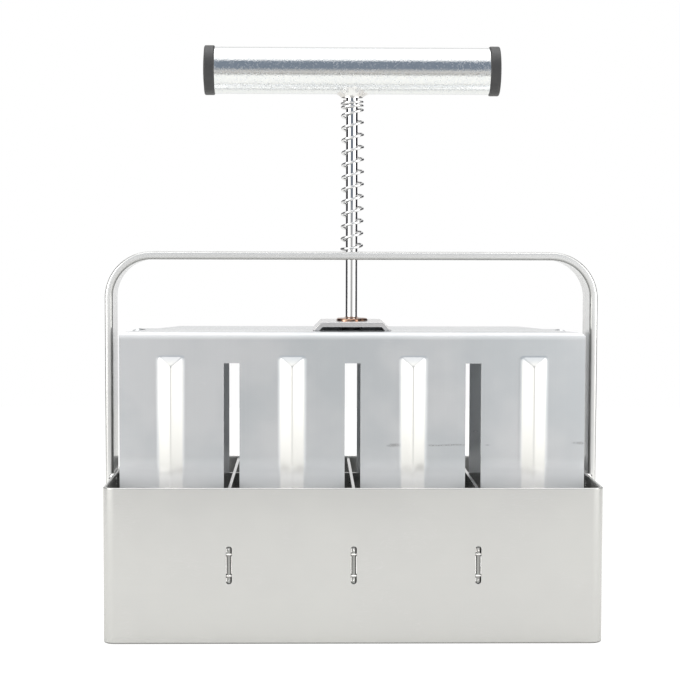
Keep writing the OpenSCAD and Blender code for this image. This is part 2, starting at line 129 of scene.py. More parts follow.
class Node:
    """A node. Its outputs are read by their name or number."""

    def __init__(self, made):
        self.made = made

    def __getitem__(self, key):
        return Value(self.made.outputs[key])


def full_colour(value):
    """A grey level or a colour, with the fourth number that Blender wants."""
    return (value, value, value, 1.0) if isinstance(value, float) else (*value, 1.0)


def open_nodes(owner):
    """Gives a material or a world an empty tree and opens it."""
    owner.use_nodes = True
    owner.node_tree.nodes.clear()
    Bench.owner, Bench.tree = owner, owner.node_tree


def open_group(kind, name, inputs, outputs):
    """Opens a new node group and returns its input node. The sockets' names are given by kind."""
    Bench.tree = bpy.data.node_groups.new(name, kind)
    for kinds, side in ((inputs, "INPUT"), (outputs, "OUTPUT")):
        for socket_kind, labels in kinds.items():
            for label in labels:
                Bench.tree.interface.new_socket(name=label, in_out=side, socket_type="NodeSocket" + socket_kind)
    return put("NodeGroupInput")


def close_group(results):
    """Gives the open group its results and returns its tree."""
    put("NodeGroupOutput", results)
    return Bench.tree


def put(kind, inputs=None, **settings):
    """Adds a node to the open tree. Its inputs are numbers, grey levels, colours or other nodes' outputs."""
    made = Bench.tree.nodes.new(kind)
    for name, value in settings.items():
        setattr(made, name, value)
    for name, value in (inputs or {}).items():
        socket = made.inputs[name]
        if isinstance(value, Value):
            Bench.tree.links.new(value.socket, socket)
        else:
            socket.default_value = full_colour(value) if socket.type == "RGBA" else value
    return Node(made)


def use(shared, values):
    """Places a shared group in a material, with its own values."""
    return put("ShaderNodeGroup", values, node_tree=shared)


def calc(operation, a, b=0.0, clamp=False):
    return put("ShaderNodeMath", {0: a, 1: b}, operation=operation, use_clamp=clamp)[0]


def size_of(a):
    """A number without its sign."""
    return calc("ABSOLUTE", a)


def larger(a, b):
    return calc("MAXIMUM", a, b)


def mix_colour(share, a, b, blend="MIX"):
    """Blends two colours; the sockets of a colour mix are 0, 6 and 7."""
    return put("ShaderNodeMix", {0: share, 6: a, 7: b}, data_type="RGBA", blend_type=blend)[2]


def mix_value(share, a, b):
    return put("ShaderNodeMix", {0: share, 2: a, 3: b})[0]


def ramp(factor, stops):
    """Colour ramp with (position, grey level or colour) stops."""
    node = put("ShaderNodeValToRGB", {0: factor})
    elements = node.made.color_ramp.elements
    elements.remove(elements[1])
    for i, (position, value) in enumerate(stops):
        element = elements[0] if i == 0 else elements.new(position)
        element.position = position
        element.color = full_colour(value)
    return node[0]


def spread(value, low, high, to_low=0.0, to_high=1.0):
    """Maps low..high smoothly to to_low..to_high, held at both ends."""
    numbers = {"Value": value, "From Min": low, "From Max": high, "To Min": to_low, "To Max": to_high}
    return put("ShaderNodeMapRange", numbers, interpolation_type="SMOOTHSTEP")[0]


def below(value, full, none, amount=1.0):
    """amount where a measure is under full, and 0 over none, both in millimetres."""
    return spread(value, full * MM, none * MM, amount, 0.0)


def above(value, none, full, amount=1.0):
    """0 where a measure is under none, and amount over full, both in millimetres."""
    return spread(value, none * MM, full * MM, 0.0, amount)


def noise(vector, scale, detail=2.0, roughness=0.5, distortion=0.0):
    values = {"Vector": vector, "Scale": scale, "Detail": detail, "Roughness": roughness, "Distortion": distortion}
    return put("ShaderNodeTexNoise", values)[0]


def axes(where):
    """The x, y and z of a place."""
    return put("ShaderNodeSeparateXYZ", {0: where})


def stretched(where, scale, turn=(0.0, 0.0, 0.0)):
    return put("ShaderNodeMapping", {"Vector": where, "Scale": scale, "Rotation": turn})[0]


def grain(where, scale, detail=2.0):
    """Noise that is drawn out along an axis."""
    return noise(stretched(where, scale), 1.0, detail)


def bump(height, strength, distance):
    return put("ShaderNodeBump", {"Strength": strength, "Distance": distance, "Height": height})[0]


def open_material(name):
    """Opens a new material and returns the places on the object."""
    open_nodes(bpy.data.materials.new(name))
    return put("ShaderNodeTexCoord")["Object"]


def close_material(colour, rough, normal, metal=1.0):
    """Gives the open material its own Principled shader and returns it."""
    values = {"Base Color": colour, "Metallic": metal, "Roughness": rough, "Normal": normal}
    put("ShaderNodeOutputMaterial", {"Surface": put("ShaderNodeBsdfPrincipled", values)[0]})
    return Bench.owner


# ---- shared finishes

def rolled_sheet_group():
    """Cold-rolled sheet: long faint rolling lines, cloudy patches and a fine tooth."""
    inputs = {"Vector": ("Position", "Lines"), "Color": ("Colour", "Cloud colour"),
              "Float": ("Clouds", "Line strength", "Roughness")}
    outputs = {"Color": ("Colour",), "Float": ("Roughness", "Height")}
    get = open_group("ShaderNodeTree", "rolled_sheet", inputs, outputs)
    clouds = spread(noise(get["Position"], 24.0, 3.0, 0.55), 0.38, 0.64)
    patches = noise(get["Position"], 95.0)
    lines = noise(get["Lines"], 1.0, 3.0, 0.6)
    tooth = noise(get["Position"], 2600.0, 1.0)
    colour = mix_colour(clouds * get["Clouds"], get["Colour"], get["Cloud colour"])
    shade = (lines - 0.5) * get["Line strength"] + 1.0
    grey = put("ShaderNodeCombineColor", {0: shade, 1: shade, 2: shade})[0]
    rough = (patches - 0.5) * 0.40 + (lines - 0.5) * 0.30 + 1.0
    return close_group({"Colour": mix_colour(1.0, colour, grey, "MULTIPLY"),
                        "Roughness": calc("MULTIPLY", rough, get["Roughness"], clamp=True),
                        "Height": lines * 0.7 + tooth * 0.3})


def level_rub_group():
    """One level rub across a sheet, between two places along it, worn through in spots."""
    inputs = {"Vector": ("Position",), "Float": ("Height of rub", "Thickness", "From", "To", "Amount")}
    get = open_group("ShaderNodeTree", "level_rub", inputs, {"Float": ("Mask",)})
    sharpness = 900.0
    place = axes(get["Position"])
    wander = (noise(get["Position"], 60.0, 1.0) - 0.5) * 0.0012
    line = spread(size_of(place[2] + wander - get["Height of rub"]) / get["Thickness"], 0.0, 1.0, 1.0, 0.0)
    ends = calc("MULTIPLY", place[0] - get["From"], sharpness, clamp=True)
    ends = ends * calc("MULTIPLY", get["To"] - place[0], sharpness, clamp=True)
    worn = spread(noise(get["Position"], 420.0, 2.0, 0.6), 0.34, 0.56, 0.35, 1.0)
    return close_group({"Mask": line * ends * (worn * get["Amount"])})


def scratch_group():
    """Hair-fine scratches in one direction, thinned out by patches."""
    inputs = {"Vector": ("Lines", "Position"), "Float": ("Amount",)}
    get = open_group("ShaderNodeTree", "hair_scratches", inputs, {"Float": ("Mask",)})
    cells = put("ShaderNodeTexVoronoi", {"Vector": get["Lines"], "Scale": 1.0}, feature="DISTANCE_TO_EDGE")
    hairs = spread(cells["Distance"], 0.0, 0.05, 1.0, 0.0)
    patches = spread(noise(get["Position"], 45.0), 0.52, 0.66)
    return close_group({"Mask": hairs * patches * get["Amount"]})


def zinc_crystal_group():
    """Bright zinc plating: small crystals that each tilt the surface a little."""
    inputs = {"Vector": ("Position",), "Float": ("Crystals per metre",), "Color": ("Colour", "Dull colour")}
    outputs = {"Color": ("Colour",), "Float": ("Height", "Mask")}
    get = open_group("ShaderNodeTree", "zinc_crystals", inputs, outputs)
    many = get["Crystals per metre"]
    cells = put("ShaderNodeTexVoronoi", {"Vector": get["Position"], "Scale": many})
    small = put("ShaderNodeTexVoronoi", {"Vector": get["Position"], "Scale": many * 2.1})
    tone = put("ShaderNodeSeparateColor", {0: cells["Color"]})[0]
    return close_group({"Colour": mix_colour(tone * 0.6, get["Colour"], get["Dull colour"]),
                        "Height": cells["Distance"] * 0.7 + small["Distance"] * 0.4, "Mask": tone})


ROLLED, RUB, SCRATCHES, CRYSTALS = rolled_sheet_group(), level_rub_group(), scratch_group(), zinc_crystal_group()


# ---- sheet metal

# Colours of the hair scratches, of painted shade and painted dark reflections, of the painted light on the matte
# spots, and of the level rubs.
HAIRS, PAINTED_SHADE_COLOUR, MATTE_PAINTED_LIGHT, RUBBED = (0.92, 0.92, 0.93), (0.22, 0.22, 0.21), (0.92, 0.93, 0.94), 0.30
# Colours of the painted highlight on the ribs, and of its paler part near their lower ends.
RIB_HIGHLIGHT_PAINT, RIB_HIGHLIGHT_PAINT_LOW = (0.80, 0.795, 0.770), (1.0, 0.99, 0.965)
DULL_ROUGHNESS, DULL_METAL = 0.26, 0.12


def sheet_material(name, colour, cloud, clouds, roughness, line_scale, lines, metal=1.0, rubs=(), matte_and_painted_light=None,
                   painted_shade=None, painted_highlight=None, bump_depth=0.00002):
    """Rolled sheet with hair scratches. Three arguments are functions that mark where the sheet gets a painted
    highlight, painted shade or a painted dark reflection, and a matte finish paled by painted light; rubs are
    (height, first x, last x, thickness, amount), in millimetres."""
    where = open_material(name)
    base = use(ROLLED, {"Position": where, "Lines": stretched(where, line_scale), "Colour": colour,
                        "Cloud colour": cloud, "Clouds": clouds, "Line strength": lines, "Roughness": roughness})
    tone, rough = base["Colour"], base["Roughness"]
    along = stretched(where, (140.0, 140.0, 1300.0), (0.0, 0.12, 0.0))
    hairs = use(SCRATCHES, {"Lines": along, "Position": where, "Amount": 0.35})["Mask"]
    tone = mix_colour(hairs * 0.25, tone, HAIRS)
    # Painted highlight on the ribs.
    if painted_highlight:
        mask, low = painted_highlight(where)
        tone = mix_colour(mask, tone, mix_colour(low, RIB_HIGHLIGHT_PAINT, RIB_HIGHLIGHT_PAINT_LOW))
    # Painted shade and painted dark reflections.
    if painted_shade:
        tone = mix_colour(painted_shade(where), tone, PAINTED_SHADE_COLOUR)
    for level, first, last, thickness, amount in rubs:
        mask = use(RUB, {"Position": where, "From": first * MM, "To": last * MM, "Amount": amount,
                         "Height of rub": level * MM, "Thickness": thickness * MM})["Mask"]
        tone = mix_colour(mask * 0.9, tone, RUBBED)
        rough = calc("ADD", rough, mask * 0.2, clamp=True)
    # Matte, less metallic spots, their colour paled by painted light.
    if matte_and_painted_light:
        mask = matte_and_painted_light(where)
        rough = mix_value(mask, rough, DULL_ROUGHNESS)
        tone = mix_colour(mask * 0.42, tone, MATTE_PAINTED_LIGHT)
        metal = mix_value(mask, metal, DULL_METAL)
    return close_material(tone, rough, bump(base["Height"], 0.35, bump_depth), metal)


def off_centre(a, centre_a, b, centre_b):
    """Distance outwards from a round corner's centre, which is in millimetres."""
    a, b = larger(a - centre_a * MM, 0.0), larger(b - centre_b * MM, 0.0)
    return calc("SQRT", a * a + b * b)


def painted_wall_shade(where):
    """Painted shadow along the mold's lower edge and painted shade on the walls' inner faces."""
    place = axes(where)
    line = below(place[2], 0.25, 0.80, 0.9)
    away = off_centre(size_of(place[0]), MOLD_W / 2 - MOLD_CORNER_R, size_of(place[1]), MOLD_D / 2 - MOLD_CORNER_R)
    inner_shade = below(away, MOLD_CORNER_R - 1.0, MOLD_CORNER_R - 0.7, 0.62)
    return larger(line, inner_shade * below(place[2], MOLD_H - 1.5, MOLD_H - 0.5))


def mold_steel():
    # Painted shadow along the lower edge and painted shade on the inner faces.
    return sheet_material("mold_steel", (0.607, 0.605, 0.588), (0.592, 0.589, 0.575), 0.8, 0.19,
                          (14.0, 14.0, 900.0), 0.02, 0.62, painted_shade=painted_wall_shade)


def painted_divider_shade(where):
    """Painted shade on the dividers' faces, up to their bright top edges."""
    return below(axes(where)[2], DIVIDER_TOP_Z - 0.35, DIVIDER_TOP_Z - 0.05, 0.70)


def divider_steel():
    # Painted shade on the dividers' faces.
    return sheet_material("divider_steel", (0.70, 0.70, 0.69), (0.60, 0.60, 0.595), 0.8, 0.20,
                          (16.0, 16.0, 900.0), 0.05, 0.85, painted_shade=painted_divider_shade)


def near_rib(where):
    """1 over the ribs' width and 0 on the flat sheet between them; then the place's y and z."""
    place = axes(where)
    turns = calc("FRACT", place[0] / (CELL_PITCH * MM) + 10.0)
    across = size_of(turns - 0.5) * (CELL_PITCH * MM)
    return below(across, RIB_HALF_W - 0.7, RIB_HALF_W + 0.3), place[1], place[2]


def low_on_legs(near, up):
    """1 near the legs' lower ends; it reaches less far up on the ribs."""
    full = mix_value(near, (MOLD_H + 1.5) * MM, MOLD_H * MM)
    none = mix_value(near, (MOLD_H + 10.0) * MM, (MOLD_H + 6.5) * MM)
    return spread(up, full, none, 1.0, 0.0)


def matte_with_painted_light(where):
    """Where the sheet is made matte and less metallic, its colour paled by painted light: round the top bend
    and near the legs' lower ends.
    """
    near, depth, up = near_rib(where)
    at_bend = above(up, COMB_TOP_Z - 3.5, COMB_TOP_Z - 1.0) * above(size_of(depth), 22.5, 24.5)
    return larger(at_bend, low_on_legs(near, up))


def rib_painted_highlight(where):
    """The ribs, which get a painted highlight, and how near a place is to their lower ends."""
    near, _, up = near_rib(where)
    return near * below(up, RIB_TOP_Z - 4.8, RIB_TOP_Z - 1.6), low_on_legs(near, up)


def painted_bend_reflection(where):
    """Painted dark reflection: a grey line along the top bend."""
    place = axes(where)
    away = size_of(size_of(place[1]) - 21.2 * MM)
    return below(away, 1.5, 3.0, 0.30) * above(place[2], COMB_TOP_Z - 2.0, COMB_TOP_Z - 1.4)


def plunger_steel():
    rubs = [(78.4, 14.0, 17.0, 0.7, 0.9), (78.6, 15.0, 20.5, 1.2, 0.9), (78.4, 31.5, 48.5, 0.55, 0.85),
            (78.5, 55.5, 58.5, 0.55, 0.7), (79.3, 92.0, 98.0, 0.75, 0.9)]
    # The sheet gets painted light on its matte spots, a painted dark reflection along the bend and a painted
    # highlight on the ribs.
    return sheet_material("plunger_steel", (0.605, 0.63, 0.65), (0.69, 0.70, 0.715), 1.0, 0.14,
                          (1500.0, 14.0, 12.0), 0.03, 0.50, rubs, matte_with_painted_light, painted_bend_reflection, rib_painted_highlight)


def plate_steel():
    return sheet_material("plate_steel", (0.63, 0.63, 0.62), 0.54, 1.0, 0.36, (14.0, 900.0, 14.0), 0.05)


def painted_bridge_shade(where):
    """Painted shade on the bridge's underside and on the inner faces of its feet."""
    place = axes(where)
    lean = BRIDGE_SPREAD / (BRIDGE_UNDER_Z + BRIDGE_T - COMB_TOP_Z)
    out = size_of(place[0]) + (place[2] - COMB_TOP_Z * MM) * lean
    inside = below(out, 15.0, 15.8, 0.88) * below(place[2], BRIDGE_UNDER_Z + 0.05, BRIDGE_UNDER_Z + 0.25)
    return inside * below(size_of(place[1]), BRIDGE_D / 2 - 0.7, BRIDGE_D / 2 - 0.3)


def bridge_steel():
    # Painted shade under the bridge and inside its feet.
    return sheet_material("bridge_steel", (0.70, 0.69, 0.69), (0.75, 0.74, 0.74), 0.8, 0.17,
                          (25.0, 2300.0, 2300.0), 0.30, 0.6, painted_shade=painted_bridge_shade)


def painted_edge_shade(where):
    """Painted shade: dark lines along the inner and outer edges of the bent bar, on its front and back."""
    place = axes(where)
    away = off_centre(size_of(place[0]), BAIL_HALF_W - BAIL_R, place[2], BAIL_TOP_Z - BAIL_R)
    inner = BAIL_R - BAIL_T
    lines = larger(below(away, inner + 0.45, inner + 1.25) * 0.8, above(away, BAIL_R - 0.65, BAIL_R - 0.35, 0.45))
    return lines * above(size_of(place[1]), BAIL_W / 2 - 1.2, BAIL_W / 2 - 0.6)


def bail_steel():
    # Painted shade along the bar's inner and outer edges.
    return sheet_material("bail_steel", (0.81, 0.81, 0.80), (0.78, 0.78, 0.77), 0.8, 0.13,
                          (30.0, 1200.0, 30.0), 0.03, 0.45, painted_shade=painted_edge_shade, bump_depth=0.000002)


# ---- other materials

def zinc_tube():
    where = open_material("zinc_tube")
    zinc = use(CRYSTALS, {"Position": where, "Colour": (0.88, 0.885, 0.865), "Crystals per metre": 2000.0,
                          "Dull colour": (0.72, 0.75, 0.79)})
    drawn = grain(where, (22.0, 700.0, 700.0))
    rough = drawn * 0.05 + spread(zinc["Mask"], 0.5, 1.0, 0.0, 0.24) + 0.02
    return close_material(zinc["Colour"], rough, bump(zinc["Height"] + drawn * 0.25, 0.4, 0.00008))


def bright_rod():
    where = open_material("bright_rod")
    drawn = grain(where, (2600.0, 2600.0, 25.0))
    rubbed = spread(grain(where, (900.0, 900.0, 18.0), 3.0), 0.55, 0.75)
    tone = mix_colour(rubbed * 0.35, 0.66, (0.54, 0.53, 0.52))
    return close_material(tone, drawn * 0.04 + rubbed * 0.06 + 0.02, bump(drawn, 0.15, 0.00002))


def spring_wire():
    where = open_material("spring_wire")
    drawn = noise(where, 900.0)
    tone = mix_colour(spread(drawn, 0.55, 0.8), 0.80, (0.62, 0.62, 0.63))
    return close_material(tone, drawn * 0.10 + 0.12, bump(drawn, 0.12, 0.00003))


def weld_metal():
    where = open_material("weld_metal")
    lumps = noise(where, 420.0, 3.0, 0.6)
    ripples = put("ShaderNodeTexVoronoi", {"Vector": where, "Scale": 900.0})["Distance"]
    heat = spread(noise(where, 160.0), 0.45, 0.68)
    tone = mix_colour(heat, (0.84, 0.84, 0.83), (0.74, 0.72, 0.70))
    return close_material(tone, lumps * 0.20 + 0.08, bump(lumps * 0.7 + ripples * 0.4, 0.3, 0.00010))


def braze_metal():
    where = open_material("braze_metal")
    flow = noise(where, 380.0, 3.0, 0.55, 0.6)
    tone = mix_colour(spread(flow, 0.40, 0.66), (0.50, 0.30, 0.21), (0.25, 0.13, 0.085))
    return close_material(tone, flow * 0.18 + 0.06, bump(flow, 0.25, 0.00012))


def peg_steel():
    where = open_material("peg_steel")
    rings = grain(where, (30.0, 30.0, 2400.0))
    tone = mix_colour(rings, 0.60, (0.48, 0.48, 0.49))
    return close_material(tone, rings * 0.15 + 0.20, bump(rings, 0.3, 0.00004))


def cap_plastic():
    where = open_material("cap_plastic")
    grain = noise(where, 1900.0, 3.0, 0.6)
    dust = spread(noise(where, 130.0, 4.0, 0.65), 0.50, 0.74)
    tone = mix_colour(dust * 0.5, (0.040, 0.040, 0.041), (0.085, 0.083, 0.080))
    return close_material(tone, grain * 0.14 + 0.40, bump(grain, 0.30, 0.00008), metal=0.0)


# ---- mesh helpers

class Edited:
    """A mesh opened for changes, which are written back at the end of the block."""

    def __init__(self, data):
        self.data, self.work = data, bmesh.new()
        self.work.from_mesh(data)

    def __enter__(self):
        return self.work

    def __exit__(self, *_):
        self.work.to_mesh(self.data)
        self.work.free()


def skin(rows, count, round_rows=True, round_points=True):
    """Faces between neighbouring rows of count points. Where round, the last joins the first."""
    faces = []
    for i in range(rows if round_rows else rows - 1):
        here, beyond = i * count, (i + 1) % rows * count
        for k in range(count if round_points else count - 1):
            after = (k + 1) % count
            faces.append((here + k, here + after, beyond + after, beyond + k))
    return faces


def mesh_piece(name, points, faces, material, sharp=SMOOTH_ANGLE):
    """Makes an object at the origin from points in millimetres, merged, closed and shaded smooth."""
    data = bpy.data.meshes.new(name)
    with Edited(data) as work:
        made = [work.verts.new([c * MM for c in p]) for p in points]
        for face in faces:
            work.faces.new([made[i] for i in face])
        bmesh.ops.remove_doubles(work, verts=work.verts, dist=MERGE_GAP * MM)
        bmesh.ops.recalc_face_normals(work, faces=work.faces)
    data.materials.append(material)
    piece = add_object(name, data)
    shade(piece, sharp)
    return piece


def stacked(name, rows, material):
    """Solid through rows of points, closed by the first and the last row."""
    count = len(rows[0])
    faces = skin(len(rows), count, round_rows=False)
    faces += [tuple(first + k for k in range(count)) for first in (0, (len(rows) - 1) * count)]
    return mesh_piece(name, [point for row in rows for point in row], faces, material)


def shade(piece, sharp=SMOOTH_ANGLE):
    """Smooth shading, broken at edges sharper than an angle in degrees."""
    data = piece.data
    data.polygons.foreach_set("use_smooth", [True] * len(data.polygons))
    limit = math.radians(sharp)
    with Edited(data) as work:
        for edge in work.edges:
            edge.smooth = len(edge.link_faces) == 2 and edge.calc_face_angle(0.0) < limit


def bake_modifiers(piece):
    """Replaces the mesh by its evaluated form and removes the modifiers."""
    bpy.context.view_layer.update()
    shape = bpy.data.meshes.new_from_object(piece.evaluated_get(bpy.context.evaluated_depsgraph_get()))
    piece.modifiers.clear()
    piece.data = shape


def cut(piece, cutters):
    """Cuts closed shapes out of a piece and removes them."""
    for cutter in cutters:
        step = piece.modifiers.new("cut", "BOOLEAN")
        step.operation, step.solver, step.object = "DIFFERENCE", "EXACT", cutter
    bake_modifiers(piece)
    shade(piece)
    for cutter in cutters:
        bpy.data.objects.remove(cutter)


def bevel_edges(piece, chosen, width, segments):
    """Rounds the edges that a test picks out. The width is in millimetres."""
    with Edited(piece.data) as work:
        bmesh.ops.delete(work, geom=[v for v in work.verts if not v.link_faces], context="VERTS")
        bmesh.ops.bevel(work, geom=[e for e in work.edges if chosen(e)], offset=width * MM, segments=segments,
                        profile=0.5, affect="EDGES", clamp_overlap=True)
    shade(piece)


def arc(centre_a, centre_b, r, start, end, steps, r_b=None):
    """Points of an arc, each with its outward normal, angles in degrees. r_b, where given, makes it oval."""
    made = []
    for i in range(steps + 1):
        angle = math.radians(start + (end - start) * i / steps)
        c, s = math.cos(angle), math.sin(angle)
        made.append((centre_a + r * c, centre_b + (r_b or r) * s, c, s))
    return made


def round_rect_loop(half_a, half_b, r, steps, r_b=None):
    """Points of a centred rectangle with round or oval corners, anticlockwise, as arc gives them."""
    loop = []
    for sa, sb, start in ((1, 1, 0), (-1, 1, 90), (-1, -1, 180), (1, -1, 270)):
        loop += arc(sa * (half_a - r), sb * (half_b - (r_b or r)), r, start, start + 90, steps, r_b)
    return loop


def carried(loop, section):
    """Points of a section of (distance out, height), carried round a level loop."""
    return [(a + na * out, b + nb * out, up) for a, b, na, nb in loop for out, up in section]


def lathe(name, profile, material, segments=64, lying_at=None, sharp=SMOOTH_ANGLE, wobble=None):
    """Turns a profile of (radius, height) round the z axis, or round a level axis at the height lying_at.
    A radius of 0 closes the end. wobble, where given, changes a radius by its turn angle."""
    points = []
    for i in range(segments):
        angle = 2.0 * math.pi * i / segments
        for r, h in profile:
            r = wobble(r, angle) if wobble else r
            c, s = r * math.cos(angle), r * math.sin(angle)
            points.append((c, s, h) if lying_at is None else (h, c, s + lying_at))
    faces = skin(segments, len(profile), round_points=profile[0][0] > 0.0)
    return mesh_piece(name, points, faces, material, sharp)


def finish_piece(piece, body, slot, *nodes):
    """Puts a finished piece on its body, in place of the part's plain nodes. Its wide flat faces are
    shaded flat, so that only the narrow rounded edges turn the light."""
    step = piece.modifiers.new("normals", "WEIGHTED_NORMAL")
    step.mode, step.weight, step.keep_sharp = "FACE_AREA", 80, True
    bake_modifiers(piece)
    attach(piece, body)
    if nodes:
        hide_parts(*nodes)


# ---- mold

def slot_cutter(x, y, turned):
    """Upright slot with round ends, through the wall at x, y."""
    r, reach = TAB_SLOT_W / 2, 3.0
    straight = TAB_SLOT_H / 2 - r
    outline = arc(0.0, TAB_Z + straight, r, 0, 180, 12) + arc(0.0, TAB_Z - straight, r, 180, 360, 12)
    rows = [[(x + depth, y + a, z) if turned else (x + a, y + depth, z) for a, z, _, _ in outline]
            for depth in (-reach, reach)]
    return stacked("cutter", rows, None)


def mold_wall(material):
    """One wrapped sheet with round upright corners and rolled-over edges, slotted for the tabs."""
    edge_r = 0.45
    loop = round_rect_loop(MOLD_W / 2, MOLD_D / 2, MOLD_CORNER_R, 14)
    section = [(a - MOLD_SHEET / 2, b + MOLD_H / 2)
               for a, b, _, _ in round_rect_loop(MOLD_SHEET / 2, MOLD_H / 2, edge_r, 4)]
    piece = mesh_piece("mold_sheet", carried(loop, section), skin(len(loop), len(section)), material)
    places = [(x, side * (MOLD_D - MOLD_SHEET) / 2, False) for x in DIVIDER_XS for side in (-1, 1)]
    places += [(side * (MOLD_W - MOLD_SHEET) / 2, 0.0, True) for side in (-1, 1)]
    cut(piece, [slot_cutter(*place) for place in places])
    finish_piece(piece, "mold", "mold_steel", "mold_wall")


def bail(material):
    """Flat bar bent over the mold, its long edges rounded, with the rod's hole in the middle."""
    leg_edge, top_edge, edge_depth, end_r, cutter_h = 1.35, 0.85, 1.35, 2.5, 3.0
    bend_z, foot_z = BAIL_TOP_Z - BAIL_R, BAIL_FOOT_Z + end_r
    right = arc(BAIL_HALF_W - BAIL_R, bend_z, BAIL_R, 90, 0, 24)
    right += [(BAIL_HALF_W, z, 1.0, 0.0) for z in np.linspace(bend_z, foot_z, 6)[1:]]
    right = [(*step, 0.0) for step in right]
    right += [(BAIL_HALF_W, foot_z - end_r * math.sin(t), 1.0, 0.0, end_r * (1.0 - math.cos(t)))
              for t in np.linspace(0.0, math.pi / 2, 7)[1:]]
    left = [(-x, z, -nx, nz, drawn) for x, z, nx, nz, drawn in reversed(right)]
    rows = []
    for x, z, nx, nz, drawn in left + right:
        edge = leg_edge + (top_edge - leg_edge) * max(0.0, nz) ** 2
        narrow = 1.0 - drawn / (BAIL_W / 2)
        rows.append([(x + nx * (a - BAIL_T / 2), y * narrow, z + nz * (a - BAIL_T / 2))
                     for a, y, _, _ in round_rect_loop(BAIL_T / 2, BAIL_W / 2, edge, 8, edge_depth)])
    piece = stacked("bail_bar", rows, material)
    middle = BAIL_TOP_Z - BAIL_T / 2
    hole = [(0.0, middle - cutter_h), (GUIDE_R, middle - cutter_h), (GUIDE_R, middle + cutter_h),
            (0.0, middle + cutter_h)]
    cut(piece, [lathe("cutter", hole, None, 40)])
    finish_piece(piece, "mold", "bail_steel", "bail")


# ---- plunger sheets

def soft_max(a, k):
    """The larger of a and 0, rounded over -k..k."""
    return a if a >= k else 0.0 if a <= -k else (a + k) ** 2 / (4.0 * k)


def rib_height(x, z):
    """How far the pressed rib stands out of the sheet at x, z."""
    reach, crest, top_round, end_slope, end_drop = 2.0, 0.45, 0.50, 0.64, 0.9
    across = min(abs(x - c) for c in CELL_XS)
    if across > RIB_HALF_W + reach or z > RIB_TOP_Z + reach:
        return 0.0
    slope = RIB_DEPTH / (RIB_HALF_W - 0.3)
    side = RIB_DEPTH - slope * (math.sqrt(across * across + crest * crest) - crest)
    end = (RIB_TOP_Z - end_drop - z) * end_slope
    foot_round = 0.25 + 0.35 * min(1.0, max(0.0, end - side))
    return soft_max(end - soft_max(end - side, top_round), foot_round)


def comb_columns():
    """X positions of the sheet's mesh columns: fine over the ribs, exact at the slots' edges."""
    xs = {-COMB_HALF_W, COMB_HALF_W}
    for c in CELL_XS:
        xs.update(c + t for t in np.linspace(-7.0, 7.0, 41))
        xs.update((c - 14.0, c + 14.0))
    for c in DIVIDER_XS:
        xs.update(c + t for t in (-SLOT_HALF_W - 6.0, -SLOT_HALF_W, 0.0, SLOT_HALF_W, SLOT_HALF_W + 6.0))
    return sorted({round(x, 4) for x in xs})


def comb_rows(top_z):
    """Steps up the panel, round the bend and back along the top: (y, z, outward y, outward z). The bend
    starts tight at the panel and opens out towards the top."""
    rise, tight_r, change = 1.6, 0.5, math.radians(30.0)
    wide_r = (rise - tight_r * math.sin(change)) / (1.0 - math.sin(change))
    bend_z = top_z - rise
    levels = {COMB_FOOT_Z, SLOT_TOP_Z, 100.0, 90.0, 80.0, 70.0, 60.0, bend_z}
    levels.update(RIB_TOP_Z + t for t in np.linspace(-6.5, 1.0, 31))
    rows = [(-COMB_FACE_Y, z, -1.0, 0.0) for z in sorted(levels)]
    for t in np.linspace(0.0, math.pi / 2, 16)[1:]:
        tight, wide = min(t, change), max(t, change)
        y = tight_r * (1.0 - math.cos(tight)) + wide_r * (math.cos(change) - math.cos(wide))
        z = tight_r * math.sin(tight) + wide_r * (math.sin(wide) - math.sin(change))
        rows.append((-COMB_FACE_Y + y, bend_z + z, -math.cos(t), math.sin(t)))
    rows += [(y, top_z, 0.0, 1.0) for y in np.linspace(rows[-1][0], COMB_END_Y, 10)[1:]]
    return rows


def half_width(y):
    """Half the sheet's width at depth y: cut back at the bend and tapered along the top."""
    bend_end = -COMB_FACE_Y + COMB_BEND_R
    if y <= bend_end:
        return COMB_HALF_W - CORNER_CUT * (y + COMB_FACE_Y) / COMB_BEND_R
    rest = TOP_TAPER - CORNER_CUT
    return COMB_HALF_W - CORNER_CUT - rest * (y - bend_end) / (COMB_END_Y - bend_end)


def comb(name, node, top_z, turn, material):
    """A slotted sheet with pressed ribs, its top bent back. turn is -1 for the rear sheet."""
    bend_angle, edge_r = math.radians(60), 0.42
    xs, rows = comb_columns(), comb_rows(top_z)
    wide, tall = len(xs), len(rows)
    points = []
    for depth in (0.0, COMB_SHEET):
        for y, z, ny, nz in rows:
            share = half_width(y) / COMB_HALF_W
            for x in xs:
                out = (rib_height(x, z) if nz == 0.0 else 0.0) - depth
                points.append((turn * x * share, turn * (y + ny * out), z + nz * out))

    def solid(i, j):
        if not (0 <= i < tall - 1 and 0 <= j < wide - 1):
            return False
        middle = (xs[j] + xs[j + 1]) / 2
        in_slot = any(abs(middle - c) < SLOT_HALF_W for c in DIVIDER_XS)
        level = (rows[i][1] + rows[i + 1][1]) / 2
        return not (in_slot and rows[i + 1][3] == 0.0 and level < SLOT_TOP_Z)

    count = wide * tall
    faces = []
    for i in range(tall - 1):
        for j in range(wide - 1):
            if not solid(i, j):
                continue
            a = i * wide + j
            b, c, d = a + 1, a + wide + 1, a + wide
            faces += [(a, b, c, d), (a + count, d + count, c + count, b + count)]
            for other, p, q in (((i - 1, j), a, b), ((i, j + 1), b, c), ((i + 1, j), c, d), ((i, j - 1), d, a)):
                if not solid(*other):
                    faces.append((q, p, p + count, q + count))
    piece = mesh_piece(name, points, faces, material)
    bevel_edges(piece, lambda e: e.calc_face_angle(0.0) > bend_angle, edge_r, 3)
    finish_piece(piece, "plunger", "plunger_steel", node)


# ---- bridge, rod and handle

